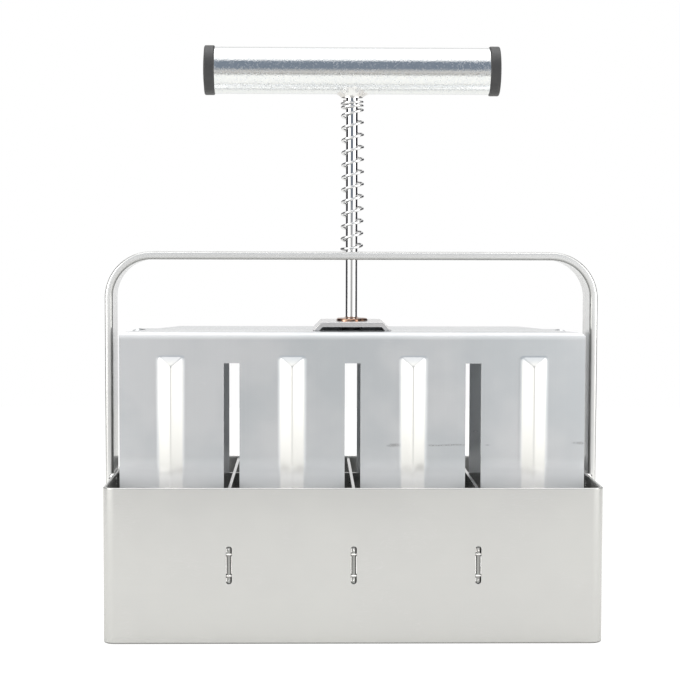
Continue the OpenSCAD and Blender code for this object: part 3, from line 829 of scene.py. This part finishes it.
def bridge_block(name, top_z, half_w, foot_half_w, foot_z, bend_r, front, rear, material):
    """Solid under a bent plate, from front to rear: a flat top, round bends and sloping sides."""
    lean = math.degrees(math.atan2(top_z - foot_z, foot_half_w - half_w))
    reach = bend_r * math.tan(math.radians(lean) / 2)
    half = [(a, b) for a, b, _, _ in arc(half_w - reach, top_z - bend_r, bend_r, 90, 90 - lean, 6)]
    half.append((foot_half_w, foot_z))
    outline = [(-a, b) for a, b in reversed(half)] + half
    return stacked(name, [[(x, y, z) for x, z in outline] for y in (front, rear)], material)


def bridge(material):
    """Small bent plate with round bends, open at the front, its rear edge turned down."""
    foot_t, outer_bend_r, inner_bend_r, beyond, hair = 2.0, 1.6, 0.4, 1.0, 1e-6
    rear_edge_r, front_edge_r = 1.2, 0.50
    top_z, half_d = BRIDGE_UNDER_Z + BRIDGE_T, BRIDGE_D / 2
    foot_half_w = BRIDGE_HALF_W + BRIDGE_SPREAD
    slope = BRIDGE_SPREAD / (top_z - COMB_TOP_Z)
    inner_foot = foot_half_w - foot_t * math.sqrt(1.0 + slope * slope)
    inner_half_w = inner_foot - slope * (BRIDGE_UNDER_Z - COMB_TOP_Z)
    piece = bridge_block("bridge_plate", top_z, BRIDGE_HALF_W, foot_half_w, COMB_TOP_Z, outer_bend_r,
                         -half_d, half_d, material)
    edge, foot = half_d * MM - hair, COMB_TOP_Z * MM + hair
    bevel_edges(piece, lambda e: all(v.co.y > edge for v in e.verts) and any(v.co.z > foot for v in e.verts),
                rear_edge_r, 4)
    cut(piece, [bridge_block("cutter", BRIDGE_UNDER_Z, inner_half_w, inner_foot + slope * beyond,
                             COMB_TOP_Z - beyond, inner_bend_r, -half_d - beyond, half_d - BRIDGE_T, None)])
    bevel_edges(piece, lambda e: all(v.co.y < -edge for v in e.verts), front_edge_r, 3)
    finish_piece(piece, "plunger", "bridge_steel", "bridge")


def flowed(seed, depth):
    """Slow unevenness for a bead that flowed while it was hot. It fades out towards the rod."""
    def wobble(r, angle):
        wave = math.sin(3 * angle + seed) + 0.6 * math.sin(5 * angle + 2.1 * seed)
        wave += 0.4 * math.sin(8 * angle - seed)
        return r + depth * wave * max(0.0, r - ROD_R - 0.3) / 3.0
    return wobble


def braze_ring(material):
    """Coppery puddle that flowed round the rod on top of the bridge, with a low collar at the rod. It
    stands a little higher than its solid."""
    foot_z, height = BRIDGE_UNDER_Z + BRIDGE_T, 1.25
    steps = [(BEAD_BORE_R, 0.0), (BRAZE_R, 0.0), (BRAZE_R + 0.05, 0.28), (6.6, 0.55), (6.3, 0.76), (5.8, 0.88),
             (4.8, 0.94), (3.7, 1.0), (3.0, 1.1), (ROD_R + 0.08, 1.34), (BEAD_BORE_R, 1.36)]
    profile = [(r, foot_z + h * height) for r, h in steps]
    piece = lathe("braze_fillet", profile, material, 72, wobble=flowed(0.7, 0.22))
    finish_piece(piece, "plunger", "braze_metal", "braze_ring")


def rod_end_weld(material):
    """Uneven bead round the rod's end under the bridge."""
    steps = [(BEAD_BORE_R, 0.0), (4.8, 0.0), (4.7, 0.5), (4.4, 0.9), (3.9, 1.2), (3.2, 1.36), (BEAD_BORE_R, 1.4)]
    profile = [(r, BRIDGE_UNDER_Z - down) for r, down in steps]
    piece = lathe("rod_foot_bead", profile, material, 48, wobble=flowed(2.2, 0.30))
    finish_piece(piece, "plunger", "weld_metal", "rod_end_weld")


def push_rod(material):
    """Plain rod with a small chamfer at each end."""
    chamfer, even = 0.4, 4.0
    profile = [(0.0, ROD_FOOT_Z), (ROD_R - chamfer, ROD_FOOT_Z), (ROD_R, ROD_FOOT_Z + chamfer)]
    profile += [(ROD_R, z) for z in np.linspace(ROD_FOOT_Z + even, ROD_HEAD_Z - even, 12)]
    profile += [(ROD_R, ROD_HEAD_Z - chamfer), (ROD_R - chamfer, ROD_HEAD_Z), (0.0, ROD_HEAD_Z)]
    finish_piece(lathe("rod", profile, material, 48), "plunger", "zinc_plate", "push_rod")


def handle_tube(material):
    """Open tube with soft lips."""
    lip, soft, inner, half = 0.25, 0.07, HANDLE_R - HANDLE_WALL, HANDLE_HALF_L
    profile = [(inner, half - lip), (inner + lip, half), (HANDLE_R - lip, half), (HANDLE_R - soft, half - soft)]
    profile += [(HANDLE_R, x) for x in np.linspace(half - lip, -half + lip, 24)]
    profile += [(HANDLE_R - soft, -half + soft), (HANDLE_R - lip, -half), (inner + lip, -half)]
    profile += [(inner, x) for x in np.linspace(-half + lip, half - lip, 6)][:-1]
    piece = lathe("grip_tube", profile, material, 128, HANDLE_Z)
    finish_piece(piece, "plunger", "zinc_plate", "handle_tube")


def under_tube(off):
    """Height of the handle tube's underside at a distance off its middle line."""
    return HANDLE_Z - math.sqrt(HANDLE_R ** 2 - off ** 2)


def handle_weld(material):
    """Fillet between the tube and the rod that follows the tube's underside, with weld ripples."""
    turns, steps, collar_r = 96, 12, 4.6
    points = []
    for i in range(turns):
        angle = 2.0 * math.pi * i / turns
        ripple = 0.22 * math.sin(13 * angle + 0.6) + 0.16 * math.sin(5 * angle + 1.9)
        c, s = math.cos(angle), math.sin(angle)
        top = under_tube(HANDLE_WELD_R * s)
        loop = []
        for k in range(steps + 1):
            t = k / steps
            r = HANDLE_WELD_R + ripple * (1.0 - t) - (HANDLE_WELD_R - HANDLE_WELD_FOOT_R) * (1 - (1 - t) ** 1.8)
            z = top + (HANDLE_WELD_Z - top) * t ** 0.9 if k else under_tube(r * s)
            loop.append((r, z - 0.10 * math.sin(13 * angle) * t * (1 - t)))
        loop += [(BEAD_BORE_R, HANDLE_WELD_Z), (BEAD_BORE_R, under_tube(ROD_R * s) + 0.6),
                 (collar_r, under_tube(collar_r * s) + 0.3)]
        points += [(r * c, r * s, z) for r, z in loop]
    piece = mesh_piece("grip_bead", points, skin(turns, len(loop)), material, BEAD_SMOOTH_ANGLE)
    finish_piece(piece, "plunger", "weld_metal", "handle_weld")


def end_cap(side, node, material):
    """Push-in cap: a slightly domed head with a soft edge, and a hollow plug inside the tube."""
    face, plug_end, bore_r = HANDLE_HALF_L, HANDLE_HALF_L - PLUG_LEN, PLUG_R - PLUG_WALL
    edge_z = face + CAP_T - CAP_BULGE - CAP_EDGE_R * 0.8
    profile = [(0.0, face + CAP_T)]
    profile += [(r, face + CAP_T - CAP_BULGE * (r / CAP_R) ** 2)
                for r in np.linspace(1.5, CAP_R - CAP_EDGE_R - 0.4, 8)]
    profile += [(a, b) for a, b, _, _ in arc(CAP_R - CAP_EDGE_R, edge_z, CAP_EDGE_R, 75, 0, 5)]
    profile += [(CAP_R, face + 0.9), (CAP_R, face + 0.35), (CAP_R - 0.3, face + 0.02), (CAP_R - 0.8, face)]
    profile += [(PLUG_R, face), (PLUG_R, face - 4.0), (PLUG_R, plug_end + 0.8), (PLUG_R - 0.5, plug_end)]
    profile += [(bore_r, plug_end), (bore_r, face), (0.0, face)]
    profile = [(r, side * h) for r, h in profile]
    piece = lathe(node + "_moulding", profile, material, 96, HANDLE_Z, 35.0)
    finish_piece(piece, "plunger", "cap_plastic", node)


# ---- geometry node trees

def geometry_tree(name, numbers):
    """Opens a new geometry tree with named numbers and returns its input node."""
    mesh = {"Geometry": ("Geometry",)}
    return open_group("GeometryNodeTree", name, {**mesh, **numbers}, mesh)


def close_tree(geometry, material):
    """Ends the open geometry tree with plain geometry in one material and returns the tree."""
    realized = put("GeometryNodeRealizeInstances", {"Geometry": geometry})[0]
    return close_group({0: put("GeometryNodeSetMaterial", {"Geometry": realized, "Material": material})[0]})


def run_tree(name, tree, start, values, sharp=SMOOTH_ANGLE):
    """Runs a geometry tree on a starting mesh and keeps the result as a plain mesh."""
    piece = add_object(name, start)
    step = piece.modifiers.new("tree", "NODES")
    step.node_group = tree
    for item in tree.interface.items_tree:
        if item.in_out == "INPUT" and item.name in values:
            step[item.identifier] = values[item.name]
    bake_modifiers(piece)
    piece.data.name = name
    shade(piece, sharp)
    return piece


def wire_tree(material):
    """Round wire with closed ends along the edges of a path."""
    get = geometry_tree("round_wire", {"Float": ("Wire radius",), "Int": ("Sides",)})
    path = put("GeometryNodeMeshToCurve", {"Mesh": get["Geometry"]})[0]
    ring = put("GeometryNodeCurvePrimitiveCircle", {"Resolution": get["Sides"], "Radius": get["Wire radius"]})[0]
    wire = put("GeometryNodeCurveToMesh", {"Curve": path, "Profile Curve": ring, "Fill Caps": True})[0]
    return close_tree(wire, material)


def grid_tree(material):
    """Repeats one piece over a grid of columns and rows."""
    get = geometry_tree("cell_grid", {"Int": ("Columns", "Rows"), "Float": ("Pitch",)})
    wide, deep = ((get[label] - 1.0) * get["Pitch"] for label in ("Columns", "Rows"))
    grid = put("GeometryNodeMeshGrid", {"Size X": wide, "Size Y": deep, "Vertices X": get["Columns"],
                                        "Vertices Y": get["Rows"]})[0]
    many = put("GeometryNodeInstanceOnPoints", {"Points": grid, "Instance": get["Geometry"]})[0]
    return close_tree(many, material)


def bead_tree(material):
    """Weld bead: overlapping flattened drops along each edge of a path, each turned and sized a little
    differently."""
    numbers = {"Float": ("Spacing", "Drop radius", "Flatness", "Unevenness"), "Int": ("Seed",)}
    get = geometry_tree("weld_bead", numbers)
    path = put("GeometryNodeMeshToCurve", {"Mesh": get["Geometry"]})[0]
    spots = put("GeometryNodeCurveToPoints", {"Curve": path, "Length": get["Spacing"]}, mode="LENGTH")
    drop = put("GeometryNodeMeshIcoSphere", {"Radius": get["Drop radius"], "Subdivisions": 3})[0]
    low = calc("SUBTRACT", 1.0, get["Unevenness"])
    high = calc("ADD", 1.0, get["Unevenness"])
    size = put("FunctionNodeRandomValue", {2: low, 3: high, "Seed": get["Seed"]}, data_type="FLOAT")[1]
    scale = put("ShaderNodeCombineXYZ", {0: size, 1: size, 2: get["Flatness"]})[0]
    many = put("GeometryNodeInstanceOnPoints", {"Points": spots["Points"], "Instance": drop,
                                                "Rotation": spots["Rotation"], "Scale": scale})[0]
    return close_tree(many, material)


def path_mesh(name, lines):
    """Open lines, in millimetres, as a mesh of edges."""
    points, edges = [], []
    for line in lines:
        first = len(points)
        points += [[c * MM for c in p] for p in line]
        edges += [(first + i, first + i + 1) for i in range(len(line) - 1)]
    data = bpy.data.meshes.new(name)
    data.from_pydata(points, edges, [])
    return data


# ---- spring, plates, pegs and beads

def spring(material):
    """The return spring on the bail, caught under the handle's weld."""
    per_turn, head_gap = 36, 0.3
    foot_z, head_z = BAIL_TOP_Z + WIRE_R, HANDLE_WELD_Z - head_gap - WIRE_R
    close_pitch = 2 * WIRE_R + CLOSE_GAP
    turns = FOOT_TURNS + OPEN_TURNS + HEAD_TURNS
    open_pitch = (head_z - foot_z - close_pitch * (FOOT_TURNS + HEAD_TURNS)) / OPEN_TURNS
    line = []
    for i in range(round(turns * per_turn) + 1):
        t = i / per_turn
        angle = math.radians(COIL_START + 360.0 * t)
        bow = COIL_BOW * math.sin(math.pi * t / turns)
        z = foot_z + close_pitch * min(t, FOOT_TURNS) + open_pitch * max(0.0, min(t - FOOT_TURNS, OPEN_TURNS))
        z += close_pitch * max(0.0, t - FOOT_TURNS - OPEN_TURNS)
        line.append((COIL_R * math.cos(angle) + bow, COIL_R * math.sin(angle), z))
    values = {"Wire radius": WIRE_R * MM, "Sides": 14}
    piece = run_tree("return_spring", wire_tree(material), path_mesh("coil_path", [line]), values)
    finish_piece(piece, "mold", "spring_wire", "spring")
    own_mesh(piece)


def one_per_cell(name, pattern, material, slot, node):
    """Repeats a pattern piece in the eight cells, in place of the part's nodes of that kind."""
    start = pattern.data
    bpy.data.objects.remove(pattern)
    values = {"Columns": 4, "Rows": 2, "Pitch": CELL_PITCH * MM}
    piece = run_tree(name, grid_tree(material), start, values)
    nodes = [f"{node}_{row}_{i}" for row in ("front", "rear") for i in range(1, 5)]
    finish_piece(piece, "plunger", slot, *nodes)


def press_plates(material):
    """Eight plates with soft edges, one in each cell."""
    soft, mid = 0.3, 0.09
    inset, top = PLATE_CORNER_R - 0.5, PLATE_UNDER_Z + PLATE_T
    loop = round_rect_loop(PLATE_W / 2, PLATE_W / 2, PLATE_CORNER_R, 8)
    steps = [(-inset, PLATE_UNDER_Z), (-soft, PLATE_UNDER_Z), (-mid, PLATE_UNDER_Z + mid),
             (0.0, PLATE_UNDER_Z + soft), (0.0, top - soft), (-mid, top - mid), (-soft, top), (-inset, top)]
    turns, count = len(loop), len(steps)
    faces = skin(turns, count, round_points=False)
    faces += [tuple(i * count + k for i in range(turns)) for k in (0, count - 1)]
    pattern = mesh_piece("plate_pattern", carried(loop, steps), faces, material)
    one_per_cell("press_plate_set", pattern, material, "plate_steel", "press_plate")


def seed_pegs(material):
    """Turned pegs under the plates: a rounded tip, a straight body and a small groove at the plate."""
    under, top, groove_r = PLATE_UNDER_Z, PLATE_UNDER_Z + PLATE_T, PEG_R - 0.25
    profile = [(0.0, under - PEG_LEN)]
    profile += [(PEG_R * math.sin(t), under - PEG_LEN + PEG_R * (1.0 - math.cos(t)))
                for t in np.radians(np.linspace(10, 90, 10))]
    profile += [(PEG_R, under - 1.2), (groove_r, under - 0.9), (groove_r, under - 0.5), (PEG_R, under - 0.25)]
    profile += [(PEG_R, under), (SPIGOT_R, under), (SPIGOT_R, top + 0.15), (SPIGOT_R - 0.5, top + 0.4)]
    profile.append((0.0, top + 0.45))
    pattern = lathe("peg_pattern", profile, material, 40)
    one_per_cell("seed_peg_set", pattern, material, "peg_steel", "seed_peg")


def bead_piece(name, tree, lines, spacing, radius, flatness, unevenness, seed, body, *nodes):
    """Weld beads along lines. The spacing and the radius of the drops are in millimetres."""
    values = {"Spacing": spacing * MM, "Drop radius": radius * MM, "Flatness": flatness, "Unevenness": unevenness,
              "Seed": seed}
    piece = run_tree(name, tree, path_mesh(name + "_path", lines), values, BEAD_SMOOTH_ANGLE)
    finish_piece(piece, body, "weld_metal", *nodes)


def bail_welds(tree):
    """Upright beads beside the bail's legs."""
    gap, low, high = 0.25, BAIL_FOOT_Z + 2.0, MOLD_H - 0.9
    spots = [(sx * (MOLD_W / 2 + gap), sy * (BAIL_W / 2 + gap)) for sx in (-1, 1) for sy in (-1, 1)]
    lines = [[(x, y, low), (x, y, high)] for x, y in spots]
    bead_piece("bail_beads", tree, lines, 1.15, 1.75, 0.75, 0.14, 3, "mold", "bail_welds")


def leg_welds(tree):
    """Level beads between the legs and the plates, two for each leg."""
    offset, half, back, z = 13.0, 5.2, COMB_FACE_Y - COMB_SHEET - 0.1, COMB_FOOT_Z + 0.1
    spots = [(x + shift, side * back) for x in CELL_XS for side in (-1, 1) for shift in (-offset, offset)]
    lines = [[(x - half, y, z), (x + half, y, z)] for x, y in spots]
    bead_piece("leg_beads", tree, lines, 1.0, 1.3, 0.75, 0.14, 5, "plunger", "leg_welds")


def tab_line(wall_x, wall_y, depth, start, end):
    """Line at a depth in the wall, near the tab there. start and end are (across, up)."""
    line = []
    for across, up in (start, end):
        if wall_y == 0.0:
            line.append((wall_x - math.copysign(depth, wall_x), across, TAB_Z + up))
        else:
            line.append((wall_x + across, wall_y - math.copysign(depth, wall_y), TAB_Z + up))
    return line


def tab_welds(tree):
    """Over each tab two short bars, and round them the thin weld that fills the slot."""
    walls = [(x, side * MOLD_D / 2) for side in (-1, 1) for x in DIVIDER_XS]
    walls += [(side * MOLD_W / 2, 0.0) for side in (-1, 1)]
    bars, fills = [], []
    for x, y in walls:
        bars += [tab_line(x, y, 0.50, (-0.8, up), (0.8, up)) for up in (-TAB_PAD_OFFSET, TAB_PAD_OFFSET)]
        fills += [tab_line(x, y, 0.62, (across, -3.4), (across, 3.4)) for across in (-1.2, 1.2)]
        for up in (-1, 1):
            fills.append(tab_line(x, y, 0.72, (0.15, up * 5.8), (-0.1, up * 6.5)))
            fills.append(tab_line(x, y, 0.62, (-1.0, up * 5.4), (-1.05, up * 6.6)))
    bead_piece("tab_beads", tree, bars, 0.45, 0.50, 0.8, 0.10, 8, "mold", "tab_welds")
    bead_piece("tab_fill", tree, fills, 0.30, 0.38, 0.9, 0.15, 4, "mold")


# ---- light and floor

def studio_world():
    """White backdrop for the camera. For the metal, a room: a front that is palest at the horizon and dark
    above it, bright panels to its left and right, dark sides, and a pale field behind and one overhead."""
    world = bpy.data.worlds.new("studio")
    bpy.context.scene.world = world
    open_nodes(world)
    ray = put("ShaderNodeLightPath")
    direction = put("ShaderNodeTexCoord")["Generated"]
    up = axes(direction)[2]
    turn = put("ShaderNodeTexGradient", {0: direction}, gradient_type="RADIAL")["Fac"]
    level = (up + 1.0) * 0.5
    dark, warm = (0.22, 0.26, 0.32), (0.66, 0.64, 0.62)
    front = ramp(level, [(0.0, 0.2), (0.325, 0.2), (0.332, warm), (0.415, warm), (0.450, 0.86), (0.475, 0.90),
                         (0.499, 0.97), (0.512, dark), (0.85, dark), (0.87, 1.4)])
    sway = ramp(turn, [(0.0, 1.0), (0.220, 1.0), (0.232, 0.50), (0.249, 0.42), (0.256, 0.46), (0.268, 0.58),
                       (0.280, 1.0)])
    at_horizon = spread(level, 0.430, 0.450) * spread(level, 0.500, 0.512, 1.0, 0.0)
    front = mix_colour(at_horizon, front, sway, "MULTIPLY")
    panels = ramp(turn, [(0.0, 1.0), (0.165, 1.0), (0.205, 0.0), (0.295, 0.0), (0.335, 0.78), (0.388, 0.78),
                         (0.404, 1.0)])
    sides = ramp(turn, [(0.0, 1.0), (0.020, 1.0), (0.040, 0.0), (0.460, 0.0), (0.480, 1.0), (0.690, 1.0),
                        (0.705, 0.0), (0.795, 0.0), (0.810, 1.0), (1.0, 1.0)])
    behind = ramp(turn, [(0.0, 0.0), (0.690, 0.0), (0.705, 1.0), (0.795, 1.0), (0.810, 0.0)])
    room = mix_colour(panels, front, (1.6, 1.59, 1.54))
    room = mix_colour(sides, room, (0.06, 0.06, 0.07))
    room = mix_colour(behind, room, 0.86)
    room = mix_colour(spread(up, 0.70, 0.75), room, 1.3)
    seen = larger(ray["Is Camera Ray"], ray["Is Transmission Ray"])
    colour = mix_colour(seen, mix_colour(ray["Is Glossy Ray"], 0.80, room), 1.0)
    light = put("ShaderNodeBackground", {"Color": colour, "Strength": 1.0})
    put("ShaderNodeOutputWorld", {"Surface": light[0]})


def soft_lamp(name, place, width, height, radiance):
    """Rectangular lamp that faces the object. Its place and sizes are in metres."""
    target = Vector((0.0, 0.0, 0.1))
    data = bpy.data.lights.new(name, "AREA")
    data.shape = "RECTANGLE"
    data.size, data.size_y = width, height
    data.energy = radiance * math.pi * width * height
    lamp = add_object(name, data)
    lamp.location = place
    lamp.rotation_euler = (target - Vector(place)).to_track_quat("-Z", "Y").to_euler()


def lamps():
    soft_lamp("lamp_over", (0.0, 0.05, 1.15), 1.1, 0.8, 1.4)
    soft_lamp("lamp_left", (-0.98, -0.66, 0.38), 0.7, 0.75, 2.4)
    soft_lamp("lamp_right", (0.98, -0.66, 0.38), 0.7, 0.75, 2.4)


def floor():
    """Plain pale floor that stays white to the camera but keeps the object's shadow."""
    side, front, back, lowered, glow, glow_share = 0.60, -0.51, 0.90, 0.05, 1.18, 0.74
    data = bpy.data.meshes.new("floor")
    data.from_pydata([(-side, front, 0), (side, front, 0), (side, back, 0), (-side, back, 0)], [], [(0, 1, 2, 3)])
    made = add_object("floor", data)
    made.location.z = -lowered * MM
    material = bpy.data.materials.new("floor_paper")
    open_nodes(material)
    share = put("ShaderNodeLightPath")["Is Camera Ray"] * glow_share
    paper = put("ShaderNodeBsdfDiffuse", {"Color": (0.93, 0.93, 0.91)})
    white = put("ShaderNodeEmission", {"Color": 1.0, "Strength": glow})
    blend = put("ShaderNodeMixShader", {0: share, 1: paper[0], 2: white[0]})
    put("ShaderNodeOutputMaterial", {"Surface": blend[0]})
    data.materials.append(material)


# ---- put together

def paint(node, material):
    """Gives a carried-over node of the part its finish."""
    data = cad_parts[node].data
    data.materials.clear()
    data.materials.append(material)


def main():
    make_camera()
    bpy.context.scene.view_settings.view_transform = "Standard"
    studio_world()
    lamps()
    floor()

    steel, weld, zinc = mold_steel(), weld_metal(), zinc_tube()
    mold_wall(steel)
    divider = divider_steel()
    paint("cross_divider", divider)
    for row in ("front", "rear"):
        for place in ("left", "middle", "right"):
            paint(f"divider_{row}_{place}", divider)
    bail(bail_steel())
    spring(spring_wire())

    sheet = plunger_steel()
    comb("front_sheet", "front_comb", COMB_TOP_Z, 1, sheet)
    comb("rear_sheet", "rear_comb", COMB_TOP_Z - COMB_SHEET, -1, sheet)
    press_plates(plate_steel())
    seed_pegs(peg_steel())
    beads = bead_tree(weld)
    bail_welds(beads)
    leg_welds(beads)
    tab_welds(beads)

    bridge(bridge_steel())
    braze_ring(braze_metal())
    rod_end_weld(weld)
    push_rod(bright_rod())
    handle_tube(zinc)
    handle_weld(weld)
    plastic = cap_plastic()
    end_cap(-1, "cap_left", plastic)
    end_cap(1, "cap_right", plastic)


main()
